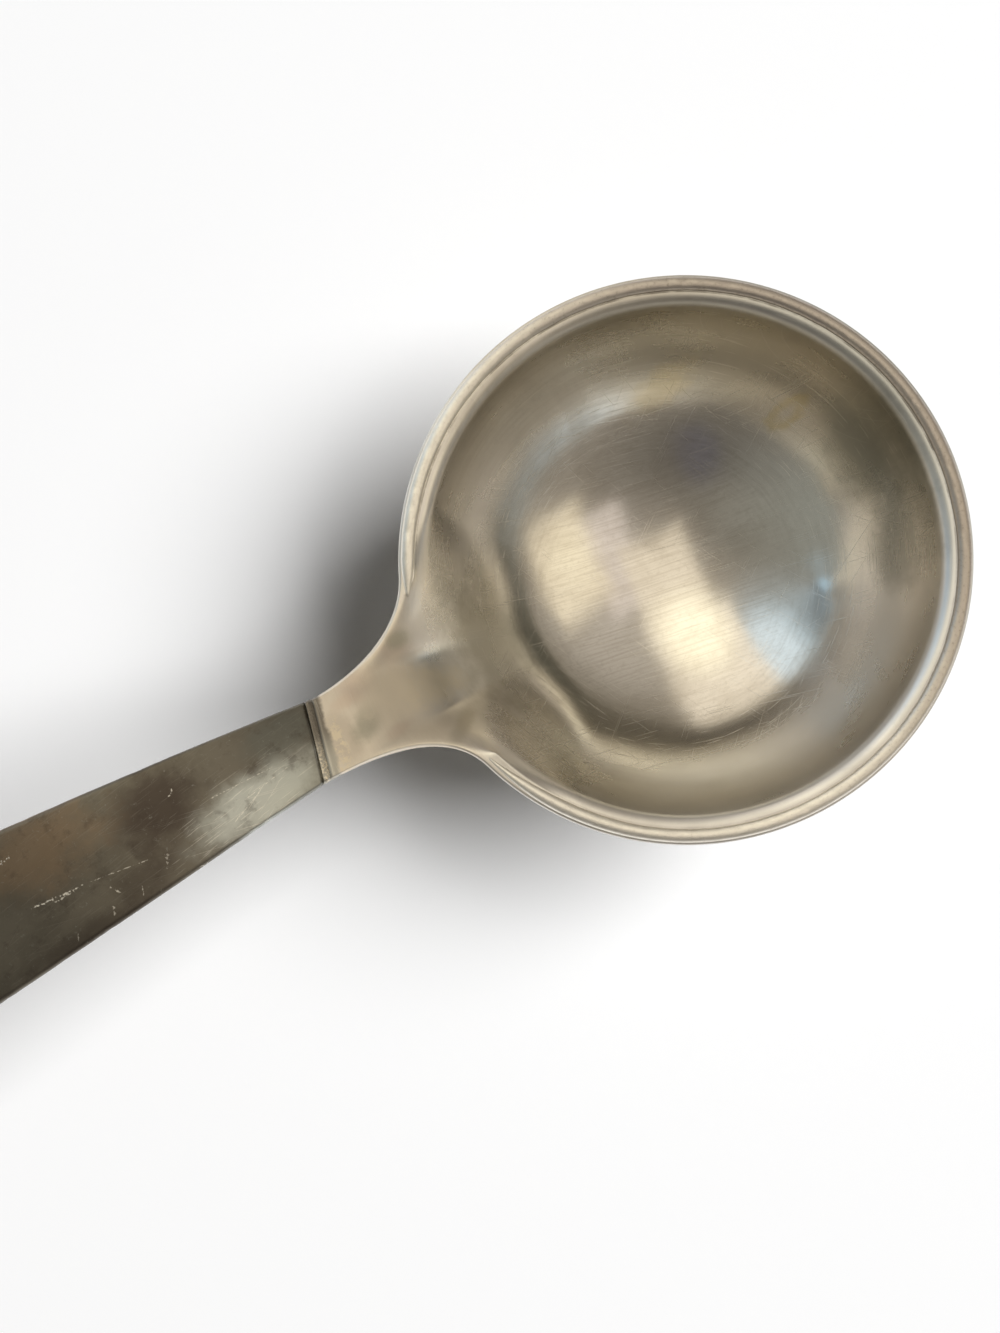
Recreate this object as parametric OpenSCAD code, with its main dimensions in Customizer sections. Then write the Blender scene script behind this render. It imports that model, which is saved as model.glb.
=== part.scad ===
// Soup ladle in old plated metal. The bowl, the narrow flange round its mouth and the neck are
// raised from one sheet. A half-round wire is soldered on the flange, and a flat flaring handle
// is soldered to the neck.
// Origin: middle of the bowl's worn base, on the surface the ladle rests on.
// +Z is up and +X runs from the bowl towards the end of the handle.

/* [Bowl] */
// Diameter over the flange
rim_d = 92; // [84:1:100]
// Height of the flange's upper face above the resting surface
bowl_h = 36; // [31:1:41]
// Thickness of the raised sheet
sheet_t = 1.3; // [1.1:0.1:1.5]
// Radius of the inner face where the wall bends out into the flange
bend_r = 1.9; // [1.7:0.1:2.4]
// How far the sheet's cut edge is rounded
lip_round = 0.4; // [0.3:0.05:0.5]
// How deep the round bottom is worn flat
base_wear = 0.4; // [0.2:0.1:0.5]
// Angle up the bowl's side, from the bottom, where the throat into the neck begins
throat_start = 66; // [62:1:72]

/* [Rim wire] */
// Width of the half-round wire
wire_w = 2.2; // [1.8:0.1:2.6]
// Height of the wire above the flange
wire_h = 0.8; // [0.6:0.1:1.2]
// Width of the flange left bare on each side of the wire
ledge_w = 0.1; // [0.05:0.05:0.3]
// Angle from the handle's line to each end of the wire
wire_gap = 19; // [18:0.5:24]
// Angle over which the wire's end on the -Y side thins out
taper_right = 8; // [5:1:14]
// Angle over which the wire's end on the +Y side thins out
taper_left = 18; // [10:1:26]

/* [Neck] */
// Length of the neck, from the flange's edge to the seam
neck_l = 17.7; // [16:0.1:20]
// Width of the neck at the seam
neck_w = 12.6; // [11:0.2:14]
// Thickness of the neck at the seam
neck_t = 2.6; // [2.2:0.1:3]
// Upward slope of the neck
neck_slope = 26; // [20:1:30]
// Length of the bend from the level flange up to the neck's slope
rise_l = 12; // [9:0.5:13]
// Angle from the handle's line to where the neck's side on the -Y side runs out into the rim
root_right = 23.7; // [21:0.1:26]
// The same angle on the +Y side
root_left = 19.8; // [18:0.1:24]
// Reach of the curved side next to the seam
side_reach = 4; // [3:0.5:6]
// Reach of the curved side next to the rim
root_reach = 11; // [9:0.5:12]
// Angle, in from the neck's roots, over which the sharp bend softens into the throat
soften = 18; // [15:0.5:19]

/* [Solder seam] */
// Width of the seam between the neck and the handle
seam_w = 1.1; // [0.7:0.1:1.6]
// How far the solder stands proud of the neck
seam_proud = 0.25; // [0.15:0.05:0.35]
// How far the seam is turned from square across the neck
seam_skew = 13; // [0:1:16]

/* [Handle] */
// Level length of the handle, from the seam to the tip
handle_l = 188; // [160:2:210]
// How far the handle's line is turned towards +Y at the seam
handle_turn = 2.3; // [0:0.1:3]
// Height of the top of the arch above the resting surface
arch_h = 56; // [52:1:62]
// Level distance from the seam to the top of the arch
arch_at = 60; // [50:1:72]
// Level distance from the tip back to where the handle rests
foot_back = 12; // [9:1:16]
// How far the underside of the tip lifts off the resting surface
tip_lift = 1.2; // [0.6:0.1:2]
// Widest width, near the tip
handle_w = 34.6; // [30:0.2:38]
// Level length over which the handle widens
flare_l = 184; // [150:2:190]
// Thickness near the tip
handle_t = 2.2; // [1.8:0.1:2.6]
// Level length of the rounded tip
tip_l = 15; // [11:0.5:18]
// Rise of the upper face from its edges to its middle
crown = 0.35; // [0.1:0.05:0.5]
// Radius of the long edges
edge_r = 0.8; // [0.4:0.1:0.9]

/* [Hidden] */

wall_steps = 10;
upper_steps = 3;
bend_steps = 6;
plate_steps = 4;
lip_steps = 4;
side_steps = 16;
rim_steps = 30;
seam_steps = 4;
wire_sides = 12;
arch_steps = 14;
fall_steps = 18;
tip_steps = 10;
corner_steps = 4;
crown_steps = 6;

// Rim steps are closer together near the neck
rim_spacing = 1.25;
// Handles of the curves over the wall's top, as shares of the distance that they span: of the
// round bend into the flange, and at the lower and upper ends of the throat
bend_pull = 0.39;
throat_pull = 0.36;
plate_pull = 0.36;
// Share of the throat's curve that lies beside the upright wall
throat_share = 0.6;
// The same for the handle: up to the arch, down from it, and into the foot
rise_pull = 0.4;
fall_pull = 0.46;
foot_pull = 0.36;
// Width of the strip along the neck's edge that has steps of its own
edge_land = 0.8;
// Share of the wire's width, from its outer side, that its ends taper to, and their size there
wire_aim = 0.3;
wire_end = 0.12;

// The sheet at the rim
rim_edge = rim_d / 2 - lip_round;
flange_in = rim_edge - wire_w - 2 * ledge_w;
wall_r = flange_in - bend_r;
inner_floor = sheet_t - base_wear;
wall_rise = bowl_h - bend_r - inner_floor;

// The neck and the seam. The neck begins to rise at the wire's ends
rise_x = rim_edge * cos(wire_gap);
slope_x = rise_x + rise_l;
seam_x = rim_d / 2 + neck_l;
along = [cos(neck_slope), 0, sin(neck_slope)];
down = [sin(neck_slope), 0, -cos(neck_slope)];
seam_line = [0, 1, 0] + tan(seam_skew) * along;

// The handle's line through the middle of its thickness
seam_mid = [seam_x, 0, plate_height(seam_x)] + neck_t / 2 * down;
handle_start = seam_mid + seam_w * along;
arch_x = seam_x + arch_at;
tip_x = seam_x + handle_l;
foot_x = tip_x - foot_back;

function mix(a, b, t) = a + (b - a) * t;
function clamp(t) = min(1, max(0, t));
function smooth(t) = let(u = clamp(t)) u * u * (3 - 2 * u);
function dir(angle) = [cos(angle), sin(angle)];
function unit(v) = v / norm(v);
function reversed(list) = [for (i = [len(list) - 1:-1:0]) list[i]];
function bezier(a, b, c, d, t) =
    a * pow(1 - t, 3) + 3 * b * t * pow(1 - t, 2) + 3 * c * t * t * (1 - t) + d * pow(t, 3);
function bezier_way(a, b, c, d, t) =
    unit((b - a) * pow(1 - t, 2) + 2 * (c - b) * t * (1 - t) + (d - c) * t * t);

// Upper face of the flange and the neck at a distance x from the bowl's centre: level, then a
// bend, then straight up the slope
function plate_slope(x) = tan(neck_slope) * clamp((x - rise_x) / rise_l);
function plate_height(x) =
    let(u = clamp((x - rise_x) / rise_l))
    bowl_h + tan(neck_slope) * (rise_l * u * u / 2 + max(0, x - slope_x));

// Outline of the sheet from above, at the start of its rounded edge
function spread(from, share) = from + (180 - from) * pow(share, rim_spacing);
function root_angle(side) = side > 0 ? root_left : -root_right;
function seam_corner(side) =
    let(half = neck_w / 2 - lip_round)
    [seam_x + side * half * tan(seam_skew) * cos(neck_slope), side * half];
function neck_side(side) =
    let(
        a = seam_corner(side),
        b = a - side_reach * dir(handle_turn),
        root = rim_edge * dir(root_angle(side)),
        c = root - root_reach * side * dir(root_angle(side) + 90)
    )
    [for (i = [1:side_steps]) bezier(a, b, c, root, i / side_steps)];
function rim_side(side) =
    [for (i = [1:rim_steps - 1])
        rim_edge * dir(side * spread(abs(root_angle(side)), i / rim_steps))];
function neck_end() =
    [for (i = [0:seam_steps]) mix(seam_corner(-1), seam_corner(1), i / seam_steps)];
outline = concat(
    neck_end(),
    neck_side(1),
    rim_side(1),
    [[-rim_edge, 0]],
    reversed(rim_side(-1)),
    reversed(neck_side(-1))
);
count = len(outline);

// Direction square to the outline at its point k, outwards
function outwards(k) =
    let(t = unit(outline[(k + 1) % count] - outline[(k + count - 1) % count]))
    [t.y, -t.x];

// Thickness of the sheet: it is left thicker where it is drawn out into the neck
function sheet_at(x, neck) =
    mix(sheet_t, neck_t, neck * clamp((x - rim_edge) / (neck_l - neck_w / 2)));

// A line over the sheet, up the inside from the base to the outline's point k, round the edge
// and down the outside. Each entry of line is [[distance out, height], direction]. Above
// throat_start it turns from the plain wall with its round bend to the throat's long curve.
function sheet_line(k) =
    let(
        p = outline[k],
        at_seam = k <= seam_steps,
        angle = atan2(p.y, p.x),
        neck = smooth((abs(root_angle(p.y)) - abs(angle)) / soften),
        knee_r = mix(flange_in, slope_x / max(0.5, cos(angle)), neck),
        knee = plate_point(knee_r, angle),
        way = plate_way(knee_r, angle),
        last_r = min(knee_r, norm(p) - edge_land),
        last_u = knee_r > last_r ? top_place(last_r, knee, way, neck) : 1,
        upper = [for (i = [1:upper_steps])
            mix(
                wall_at(mix(throat_start, 90, i / upper_steps)),
                throat_at(knee, way, throat_share * i / upper_steps),
                neck
            )],
        bend = [for (i = [1:bend_steps]) top_at(last_u * i / bend_steps, knee, way, neck)],
        line = concat(
            [for (i = [1:wall_steps]) wall_at(throat_start * i / wall_steps)],
            upper,
            bend,
            [for (i = [1:plate_steps])
                let(r = mix(last_r, norm(p), i / plate_steps))
                r < knee_r ? top_at(top_place(r, knee, way, neck), knee, way, neck)
                : [plate_point(r, angle), plate_way(r, angle)]]
        ),
        inside = [for (q = line) turned(q[0], angle)],
        outside = [for (q = line)
            let(t = sheet_at(q[0].x * cos(angle), neck))
            turned([q[0].x + t * q[1].y, max(0, q[0].y - t * q[1].x)], angle)],
        last = len(line) - 1,
        foot = at_seam ? inside[last] + neck_t * down : outside[last],
        out = outwards(k),
        over = k == 0 ? -lip_round * seam_line
            : k == seam_steps ? lip_round * seam_line
            : at_seam ? [0, 0, 0]
            : lip_round * [out.x, out.y, out.x * plate_slope(p.x)]
    )
    concat(
        inside,
        [for (i = [1:lip_steps - 1])
            let(a = 180 * i / lip_steps)
            mix(inside[last], foot, (1 - cos(a)) / 2) + over * sin(a)],
        [foot],
        reversed([for (i = [0:last - 1]) outside[i]])
    );
function wall_at(a) =
    [
        [wall_r * sin(a), inner_floor + wall_rise * (1 - cos(a))],
        unit([wall_r * cos(a), wall_rise * sin(a)])
    ];
function curve_at(from, to, way, pull, end_pull, t) =
    let(
        gap = norm(to - from[0]),
        b = from[0] + pull * gap * from[1],
        c = to - end_pull * gap * way
    )
    [bezier(from[0], b, c, to, t), bezier_way(from[0], b, c, to, t)];
function bend_at(knee, way, t) = curve_at(wall_at(90), knee, way, bend_pull, bend_pull, t);
function throat_at(knee, way, t) =
    curve_at(wall_at(throat_start), knee, way, throat_pull, plate_pull, t);
// Top of the line at its share t: the round bend mixed with the throat's curve
function top_at(t, knee, way, neck) =
    mix(bend_at(knee, way, t), throat_at(knee, way, mix(throat_share, 1, t)), neck);
// Share of the top at which its distance out is r, found by halving
function top_place(r, knee, way, neck, low = 0, high = 1, tries = 24) =
    let(half = (low + high) / 2)
    tries == 0 ? high
    : top_at(half, knee, way, neck)[0].x < r
        ? top_place(r, knee, way, neck, half, high, tries - 1)
        : top_place(r, knee, way, neck, low, half, tries - 1);
function plate_point(r, angle) = [r, plate_height(r * cos(angle))];
function plate_way(r, angle) = unit([1, plate_slope(r * cos(angle)) * cos(angle)]);
function turned(q, angle) = [q.x * cos(angle), q.x * sin(angle), q.y];

// Two triangles between the points a, b of one line and c, d of the next, split from a to d
// or, across, from b to c
function patch(a, b, c, d, across = false) =
    across ? [[a, b, c], [b, d, c]] : [[a, b, d], [a, d, c]];

// Solid through rings that all list their points the same way round
module skin(rings) {
    n = len(rings[0]);
    last = len(rings) - 1;
    polyhedron(
        points = [for (ring = rings) each ring],
        faces = concat(
            [[for (i = [0:n - 1]) i]],
            [for (k = [0:last - 1])
                for (i = [0:n - 1])
                    let(j = (i + 1) % n)
                    each patch(k * n + j, k * n + i, (k + 1) * n + j, (k + 1) * n + i)],
            [[for (i = [n - 1:-1:0]) last * n + i]]
        )
    );
}

// Cross-section of the flat bar: level underside, crowned upper face and rounded long edges,
// as [sideways, up from the middle] points
function bar_section(w, t, top, r) =
    let(
        round = min(r, t * 0.42, w * 0.4),
        side = w / 2 - round,
        low = -t / 2 + round,
        high = t / 2 - top - round,
        corner = [for (i = [0:corner_steps]) round * dir(-90 + 180 * i / corner_steps)],
        right = [for (q = corner) [side + q.x, (q.y > 0 ? max(low, high) : low) + q.y]],
        upper = [for (i = [1:crown_steps - 1])
            let(y = side * (1 - 2 * i / crown_steps))
            [y, t / 2 - top * pow(y / side, 2)]]
    )
    concat(right, upper, reversed([for (q = right) [-q.x, q.y]]));

// The section stood across a path at a point of it where it runs at an angle to the level
function bar_ring(at, angle, section, skew) =
    [for (q = section)
        let(ahead = q.x * tan(skew))
        [
            at.x + ahead * cos(angle) - q.y * sin(angle),
            at.y + q.x,
            at.z + ahead * sin(angle) + q.y * cos(angle)
        ]];

function bar_width(x) = mix(neck_w, handle_w, sin(90 * clamp((x - seam_x) / flare_l)));
function bar_thickness(x) = mix(neck_t, handle_t, clamp((x - seam_x) / handle_l));

module bowl() {
    lines = [for (k = [0:count - 1]) sheet_line(k)];
    back = seam_steps + side_steps + rim_steps;
    n = len(lines[0]);
    inner_pole = count * n;
    outer_pole = inner_pole + 1;
    color([0.70, 0.64, 0.53])
        polyhedron(
            points = concat(
                [for (line = lines) each line],
                [[0, 0, inner_floor], [0, 0, 0]]
            ),
            faces = [for (k = [0:count - 1])
                let(m = (k + 1) % count)
                each concat(
                    [[inner_pole, m * n, k * n]],
                    [for (i = [0:n - 2])
                        each patch(m * n + i, m * n + i + 1, k * n + i, k * n + i + 1, k < back)],
                    [[outer_pole, (k + 1) * n - 1, (m + 1) * n - 1]]
                )]
        );
}

module rim_wire() {
    angles = concat(
        [for (i = [0:rim_steps - 1]) spread(wire_gap, i / rim_steps)],
        [180],
        reversed([for (i = [0:rim_steps - 1]) 360 - spread(wire_gap, i / rim_steps)])
    );
    color([0.80, 0.74, 0.62])
        skin([for (angle = angles)
            let(
                left = (angle - wire_gap) / taper_left,
                right = (360 - wire_gap - angle) / taper_right,
                size = mix(wire_end, 1, sin(90 * clamp(min(left, right)))),
                middle = rim_edge - ledge_w - wire_w * mix(wire_aim, 0.5, size)
            )
            reversed([for (i = [0:wire_sides])
                let(a = 180 * i / wire_sides)
                turned(
                    [middle + size * wire_w / 2 * cos(a), bowl_h + size * wire_h * sin(a)],
                    angle
                )])]);
}

module solder_seam() {
    // Level at the two joined faces, and proudest half way between them
    places = [0, 0.25, 0.5, 0.75, 1];
    color([0.86, 0.82, 0.72])
        skin([for (u = places)
            let(
                at = seam_mid + u * seam_w * along,
                proud = seam_proud * (0.5 + 0.5 * sin(180 * u))
            )
            bar_ring(
                at,
                neck_slope,
                bar_section(neck_w + 2 * proud, neck_t + 2 * proud, 0, edge_r),
                seam_skew
            )]);
}

module handle() {
    start = [handle_start.x, handle_start.z];
    peak = [arch_x, arch_h - bar_thickness(arch_x) / 2];
    foot = [foot_x, bar_thickness(foot_x) / 2];
    rise_l = arch_x - start.x;
    fall_l = foot_x - arch_x;
    rise = [
        start,
        start + rise_pull * rise_l * dir(neck_slope),
        peak - [rise_pull * rise_l, 0],
        peak
    ];
    fall = [peak, peak + [fall_pull * fall_l, 0], foot - [foot_pull * fall_l, 0], foot];
    color([0.36, 0.32, 0.26])
        skin(concat(
            [for (i = [0:arch_steps])
                let(t = i / arch_steps)
                bar_at(
                    bezier(rise[0], rise[1], rise[2], rise[3], t),
                    bezier_way(rise[0], rise[1], rise[2], rise[3], t),
                    mix(seam_skew, -handle_turn, smooth(t * 2))
                )],
            [for (i = [1:fall_steps])
                let(t = i / fall_steps)
                bar_at(
                    bezier(fall[0], fall[1], fall[2], fall[3], t),
                    bezier_way(fall[0], fall[1], fall[2], fall[3], t),
                    -handle_turn
                )],
            [for (i = [1:tip_steps])
                let(
                    x = mix(foot_x, tip_x, sin(85 * i / tip_steps)),
                    t = (x - foot_x) / foot_back
                )
                bar_at(
                    [x, foot.y + tip_lift * t * t],
                    unit([foot_back, 2 * tip_lift * t]),
                    -handle_turn
                )]
        ));
}

// The bar's ring at a point [x, z] of its path, drawn in to the round outline near the tip
function bar_at(at, way, skew) =
    let(
        u = clamp((at.x - (tip_x - tip_l)) / tip_l),
        e = clamp((tip_x - at.x) / edge_r),
        w = bar_width(at.x) * sqrt(1 - u * u),
        t = bar_thickness(at.x) * max(0.3, sqrt(1 - pow(1 - e, 2))),
        aside = (at.x - handle_start.x) * tan(handle_turn)
    )
    bar_ring(
        [at.x, aside, at.y],
        atan2(way.y, way.x),
        bar_section(w, t, crown * min(1, w / neck_w), edge_r),
        skew
    );

bowl();
rim_wire();
handle();
solder_seam();
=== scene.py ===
"""An old, worn soup ladle: a raised bowl with a wired rim, a neck drawn out of the same sheet,
a flat flaring handle and the soldered seam between the two.

Laid out as a Blender add-on and run as a script. Lengths are metres, angles are radians, and the
frame is the CAD frame: the middle of the bowl's worn base is the origin, Z points up out of the
mouth and X towards the end of the handle.
"""

import math

import bpy
import numpy as np
from bpy.props import FloatProperty, FloatVectorProperty, PointerProperty
from mathutils import Matrix, Vector


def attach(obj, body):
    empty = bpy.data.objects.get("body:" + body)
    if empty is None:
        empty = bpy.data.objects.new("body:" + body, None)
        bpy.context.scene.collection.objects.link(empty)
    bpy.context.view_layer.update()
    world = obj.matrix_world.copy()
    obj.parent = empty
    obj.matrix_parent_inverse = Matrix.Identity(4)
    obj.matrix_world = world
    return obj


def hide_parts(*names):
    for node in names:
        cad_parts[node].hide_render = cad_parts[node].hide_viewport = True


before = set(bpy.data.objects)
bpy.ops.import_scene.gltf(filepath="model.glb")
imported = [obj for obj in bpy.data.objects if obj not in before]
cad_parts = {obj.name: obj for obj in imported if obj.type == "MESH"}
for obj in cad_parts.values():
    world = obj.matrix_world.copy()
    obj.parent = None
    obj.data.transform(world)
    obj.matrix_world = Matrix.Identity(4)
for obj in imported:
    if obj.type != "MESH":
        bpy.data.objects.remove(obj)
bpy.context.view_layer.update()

bl_info = {
    "name": "Worn soup ladle",
    "version": (1, 0, 0),
    "blender": (4, 5, 0),
    "location": "View3D > Sidebar > Ladle",
    "description": "Builds an old soup ladle, its worn metal finishes and a plain stage",
    "category": "Object",
}

MM = 0.001

# Steps of the grids: up the bowl's wall, over its bend, round its edge and along each part of
# its outline, and along and round the other pieces
WALL_STEPS, UPPER_STEPS, BEND_STEPS, PLATE_STEPS, LIP_STEPS = 46, 8, 14, 12, 6
SEAM_COLUMNS, SIDE_COLUMNS, RIM_COLUMNS = 16, 56, 150
WIRE_STATIONS, WIRE_SIDES = 420, 20
RISE_STEPS, FALL_STEPS, TIP_STEPS, BAR_CORNER, BAR_CROWN = 110, 150, 30, 6, 14
BEAD_STEPS = 22


def length(name, description, default):
    """A length in metres, given here in millimetres."""
    return FloatProperty(
        name=name, description=description, default=default * MM, min=0.0, precision=5,
        unit="LENGTH", subtype="DISTANCE",
    )


def turn(name, description, default):
    """An angle, given here in degrees."""
    return FloatProperty(
        name=name, description=description, default=math.radians(default),
        unit="ROTATION", subtype="ANGLE",
    )


def share(name, description, default, most=1.0):
    return FloatProperty(
        name=name, description=description, default=default, min=0.0, max=most,
        subtype="FACTOR",
    )


def colour(name, description, default):
    return FloatVectorProperty(
        name=name, description=description, default=default, min=0.0, max=1.0, size=3,
        subtype="COLOR",
    )


class LadleSizes(bpy.types.PropertyGroup):
    """Sizes of the ladle, the same as the CAD model's."""

    rim_d: length("Rim", "Diameter over the rim", 92)
    bowl_h: length("Bowl height", "Height of the flange's upper face over the table", 36)
    sheet_t: length("Sheet", "Thickness of the bowl's sheet", 1.3)
    bend_r: length("Bend", "Radius of the bend between the wall and the flange", 1.9)
    lip_round: length("Sheet edge", "How far the rounded edge of the sheet stands out", 0.4)
    base_wear: length("Base wear", "How much has worn off under the bowl", 0.4)
    throat_start: turn("Throat start", "How far up the wall the throat of the neck begins", 66)
    wire_w: length("Wire width", "Width of the half-round wire on the flange", 2.2)
    wire_h: length("Wire height", "Height of the wire over the flange", 0.8)
    ledge_w: length("Ledge", "Flange left bare on each side of the wire", 0.1)
    wire_gap: turn("Wire gap", "Angle from the neck's middle to each end of the wire", 19)
    taper_right: turn("Right taper", "Angle over which the wire's right end is filed", 8)
    taper_left: turn("Left taper", "Angle over which the wire's left end is filed", 18)
    neck_l: length("Neck length", "From the rim to the seam", 17.7)
    neck_w: length("Neck width", "Width of the neck at the seam", 12.6)
    neck_t: length("Neck thickness", "Thickness of the neck at the seam", 2.6)
    neck_slope: turn("Neck slope", "How steeply the neck rises", 26)
    rise_l: length("Neck bend", "Length over which the neck bends up", 12)
    root_right: turn("Right root", "Where the neck's right side meets the rim", 23.7)
    root_left: turn("Left root", "Where the neck's left side meets the rim", 19.8)
    side_reach: length("Side reach", "How straight the neck's sides leave the seam", 4)
    root_reach: length("Root reach", "How far the roots of the neck sweep along the rim", 11)
    soften: turn("Throat spread", "Angle over which the throat fades into the wall", 18)
    seam_w: length("Seam width", "Width of the line of solder", 1.1)
    seam_proud: length("Seam height", "How far the solder stands over the metal", 0.25)
    seam_skew: turn("Seam skew", "How far the seam is turned from square", 13)
    handle_l: length("Handle length", "Level length of the handle", 188)
    handle_turn: turn("Handle turn", "How far the handle is turned at the seam", 2.3)
    arch_h: length("Arch height", "Height of the top of the arch", 56)
    arch_at: length("Arch place", "From the seam to the top of the arch", 60)
    foot_back: length("Foot", "Length of the level foot at the handle's end", 12)
    tip_lift: length("Tip lift", "How far the tip turns up", 1.2)
    handle_w: length("Handle width", "Greatest width of the handle", 34.6)
    flare_l: length("Flare length", "Length over which the handle widens", 184)
    handle_t: length("Handle thickness", "Thickness of the handle near its end", 2.2)
    tip_l: length("Tip length", "Length of the handle's rounded end", 15)
    crown: length("Crown", "How much higher the middle of the upper face is", 0.35)
    edge_r: length("Edge round", "Radius of the handle's long edges", 0.8)
    dent_h: length("Dents", "Depth of the hand-hammered unevenness", 0.055)
    nick_h: length("Nicks", "Depth of the nicks in the rim and the handle's edges", 0.22)


class LadleFinishes(bpy.types.PropertyGroup):
    """Colours and wear of the metal."""

    sheet: colour("Sheet", "Clean worn metal of the bowl", (0.83, 0.79, 0.71))
    # Painted reflection: the paler colour given to one side of the steep wall, where it mirrors itself
    bright: colour("Bright", "Steep wall, which mirrors itself", (0.87, 0.85, 0.82))
    tarnish: colour("Tarnish", "Brown tarnish on the bowl", (0.60, 0.55, 0.47))
    neck: colour("Neck", "Warm tan of the neck", (0.88, 0.79, 0.65))
    stain: colour("Stain", "Yellowish stains on the bowl", (0.62, 0.52, 0.32))
    wire: colour("Wire", "Rubbed metal of the rim", (0.97, 0.93, 0.84))
    patina: colour("Patina", "Olive brown patina of the handle", (0.155, 0.14, 0.112))
    umber: colour("Umber", "Darkest part of the patina", (0.072, 0.056, 0.046))
    rust: colour("Rust", "Orange brown part of the patina", (0.26, 0.19, 0.125))
    # Used both for the handle's rubbed metal and for the painted highlight on it near the seam
    rubbed_and_lit: colour("Rubbed", "Greenish grey where the handle is rubbed", (0.55, 0.57, 0.525))
    solder: colour("Solder", "Bright granular solder", (0.86, 0.76, 0.58))
    polish: share("Polish", "Roughness where the bowl is smoothest", 0.1)
    dullness: share("Dullness", "Roughness where the bowl is dullest", 0.18)


class LadleStage(bpy.types.PropertyGroup):
    """Floor and light."""

    floor: colour("Floor", "Colour of the floor", (0.8, 0.8, 0.8))
    white: share("Floor white", "How pale the floor looks to the camera and in the metal", 1.0, 4.0)
    sky: share("Sky", "Level of the light from all round", 0.02, 4.0)
    gloom: share("Room", "Level of the room that the metal mirrors", 1.0, 4.0)
    key: share("Key", "Level of the lamp that casts the shadow", 9.7, 99.0)


# ---------------------------------------------------------------- lines and grids


def mix(a, b, t):
    return a + (b - a) * t


def smooth(t):
    """The cubic that leaves 0 and reaches 1 level."""
    t = np.clip(t, 0, 1)
    return t * t * (3 - 2 * t)


def heading(angle):
    return np.stack([np.cos(angle), np.sin(angle)], -1)


def unit(v):
    return v / np.linalg.norm(v, axis=-1, keepdims=True)


def bezier(a, b, c, d, t):
    """Point of a cubic curve with its four points a, b, c, d at the share t of the way."""
    t = np.asarray(t)[..., None]
    return a * (1 - t) ** 3 + 3 * b * t * (1 - t) ** 2 + 3 * c * t * t * (1 - t) + d * t**3


def bezier_way(a, b, c, d, t):
    """Direction of that curve there."""
    t = np.asarray(t)[..., None]
    return unit((b - a) * (1 - t) ** 2 + 2 * (c - b) * t * (1 - t) + (d - c) * t * t)


def ripple(points, seed, waves, longest, shortest):
    """Smooth unevenness between about -1 and 1: the mean of cosine waves in space, each with
    its own direction, length and start."""
    draw = np.random.default_rng(seed)
    ways = unit(draw.normal(size=(waves, 3)))
    lengths = np.exp(draw.uniform(np.log(shortest), np.log(longest), waves))
    starts = draw.uniform(0, 2 * np.pi, waves)
    phases = points @ (ways * (2 * np.pi / lengths)[:, None]).T + starts
    return np.cos(phases).sum(-1) / math.sqrt(waves / 2) / 1.6


def nicks(along, seed, count, shortest, longest):
    """Depth of nicks at each place along an edge, from 0 to 1: the greatest of bell curves with
    their own middles, widths and depths."""
    draw = np.random.default_rng(seed)
    middles = draw.uniform(along.min(), along.max(), count)
    widths = draw.uniform(shortest, longest, count)
    depths = draw.uniform(0.2, 1, count) ** 2
    return (np.exp(-(((along[..., None] - middles) / widths) ** 2)) * depths).max(-1)


def grid_faces(rows, columns, closed):
    """Quads between the rows of a grid whose points are listed row by row; closed also joins
    the last column to the first."""
    j = np.arange(columns if closed else columns - 1)
    i = np.arange(rows - 1)[:, None] * columns
    after = (j + 1) % columns
    return np.stack([i + j, i + after, i + columns + after, i + columns + j], -1).reshape(-1, 4)


def fan(ring, pole):
    """Triangles between a ring of points and its pole."""
    return np.stack([ring, np.roll(ring, -1), np.full_like(ring, pole)], -1)


def put_mesh(name, points, faces, finish):
    """A piece from its points and lists of faces, smooth shaded and at the origin."""
    mesh = bpy.data.meshes.new(name)
    mesh.from_pydata(points.tolist(), [], [face for part in faces for face in part.tolist()])
    mesh.polygons.foreach_set("use_smooth", np.ones(len(mesh.polygons), bool))
    mesh.materials.append(finish)
    mesh.update()
    piece = bpy.data.objects.new(name, mesh)
    bpy.context.scene.collection.objects.link(piece)
    return piece


# ---------------------------------------------------------------- the sheet, neck and seam


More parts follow.
